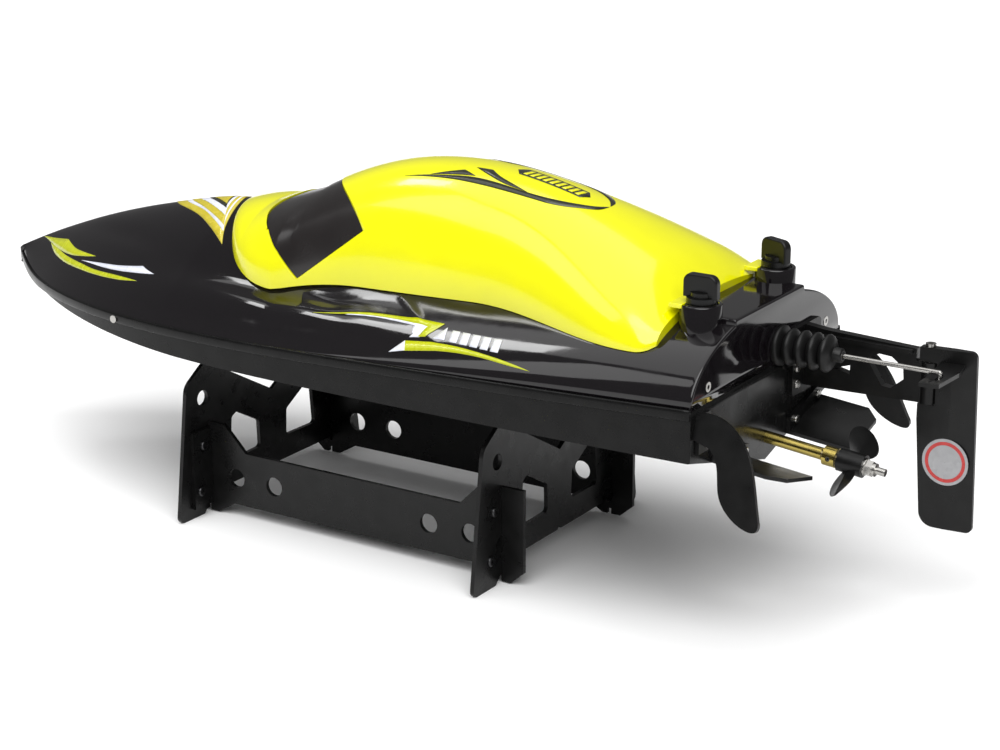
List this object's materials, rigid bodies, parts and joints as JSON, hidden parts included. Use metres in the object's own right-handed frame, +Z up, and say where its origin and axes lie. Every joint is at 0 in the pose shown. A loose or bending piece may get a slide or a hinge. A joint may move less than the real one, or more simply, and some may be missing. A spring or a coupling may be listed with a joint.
{
  "type": "radio-controlled boat on stand",
  "caption": "Deep-vee radio-controlled racing boat with lift-off canopy, stern rudder and propeller drive, resting on a slotted plate stand.",
  "frame": {"origin": "middle of the overall box, on the ground under the stand", "axes": "+X towards the bow, +Y to port, +Z up"},
  "size_m": [0.6209, 0.1884, 0.2137],
  "materials": {
    "hull_satin": "satin black",
    "deck_gloss": "gloss black",
    "canopy_yellow": "gloss yellow",
    "smoked_pane": "smoked",
    "clear_sheet": "clear",
    "black_nylon": "satin black nylon",
    "stand_black": "satin black",
    "steel": "bright",
    "black_steel": "blackened",
    "rubber_black": "matt",
    "brass": "turned",
    "aluminium": "machined",
    "tray_black": "moulded",
    "battery_wrap": "shrink wrap",
    "strap_fabric": "woven",
    "wire_insulation": "silicone"
  },
  "bodies": {
    "stand": {"stand_front_cradle": "stand_black", "stand_rear_cradle": "stand_black", "stand_port_rail": "stand_black", "stand_starboard_rail": "stand_black", "stand_screws": "black_steel", "stand_nuts": "black_steel"},
    "canopy_shell": {"canopy": "canopy_yellow", "windshield": "smoked_pane"},
    "knob_port": {"thumb_screw_port": "black_nylon"},
    "knob_starboard": {"thumb_screw_starboard": "black_nylon"},
    "rudder": {"rudder_blade": "black_nylon", "rudder_pivot_pin": "steel"},
    "steering_rod": {"pushrod": "steel"},
    "servo_crank": {"servo_arm": "black_nylon"},
    "drive": {"propeller_shaft": "steel", "drive_collar": "brass", "collar_set_screw": "black_steel", "propeller": "black_nylon", "prop_washer": "steel", "prop_lock_nut": "steel", "shaft_coupling": "aluminium", "motor_rotor": "steel"},
    "boat": {"lower_hull": "hull_satin", "deck": "deck_gloss", "deck_screws": "steel", "inner_hatch_cover": "clear_sheet", "rudder_bracket": "black_nylon", "bracket_screws": "steel", "pushrod_bellows": "rubber_black", "turn_fin_port": "black_nylon", "turn_fin_starboard": "black_nylon", "trim_tab_port": "black_nylon", "trim_tab_starboard": "black_nylon", "fin_screws": "steel", "tab_screws": "steel", "shaft_tube": "brass", "motor_case": "aluminium", "water_jacket": "aluminium", "motor_mount": "aluminium", "equipment_tray": "tray_black", "battery": "battery_wrap", "battery_straps": "strap_fabric", "speed_controller": "tray_black", "radio_receiver": "tray_black", "steering_servo": "tray_black", "servo_mount": "tray_black", "motor_wires": "wire_insulation", "battery_leads": "wire_insulation"}
  },
  "joints": [
    {"name": "boat_lift", "type": "slide", "parent": "stand", "child": "boat", "axis": [0, 0, 1], "range_m": [0, 0.12]},
    {"name": "canopy_lift", "type": "slide", "parent": "boat", "child": "canopy_shell", "axis": [0, 0, 1], "range_m": [0, 0.07]},
    {"name": "knob_port_turn", "type": "hinge", "parent": "canopy_shell", "child": "knob_port", "pos_m": [-0.194, 0.042, 0.175], "axis": [0, 0, 1], "continuous": true},
    {"name": "knob_starboard_turn", "type": "hinge", "parent": "canopy_shell", "child": "knob_starboard", "pos_m": [-0.194, -0.042, 0.175], "axis": [0, 0, 1], "continuous": true},
    {"name": "rudder_turn", "type": "hinge", "parent": "boat", "child": "rudder", "pos_m": [-0.284, -0.04, 0.12], "axis": [0, 0, 1], "range_deg": [-20, 20]},
    {"name": "pushrod_slide", "type": "slide", "parent": "boat", "child": "steering_rod", "axis": [1, 0, 0], "range_m": [-0.01079, 0.01079]},
    {"name": "servo_turn", "type": "hinge", "parent": "boat", "child": "servo_crank", "pos_m": [-0.158, -0.035, 0.131], "axis": [0, 0, 1], "range_deg": [-25, 25]},
    {"name": "drive_spin", "type": "hinge", "parent": "boat", "child": "drive", "pos_m": [-0.2615, 0, 0.0836], "axis": [0.9945, 0, 0.1045], "continuous": true}
  ],
  "couplings": [
    {"joint": "pushrod_slide", "follows": "rudder_turn", "m_per_rad": -0.0292},
    {"joint": "servo_turn", "follows": "rudder_turn", "ratio": 1.2}
  ]
}
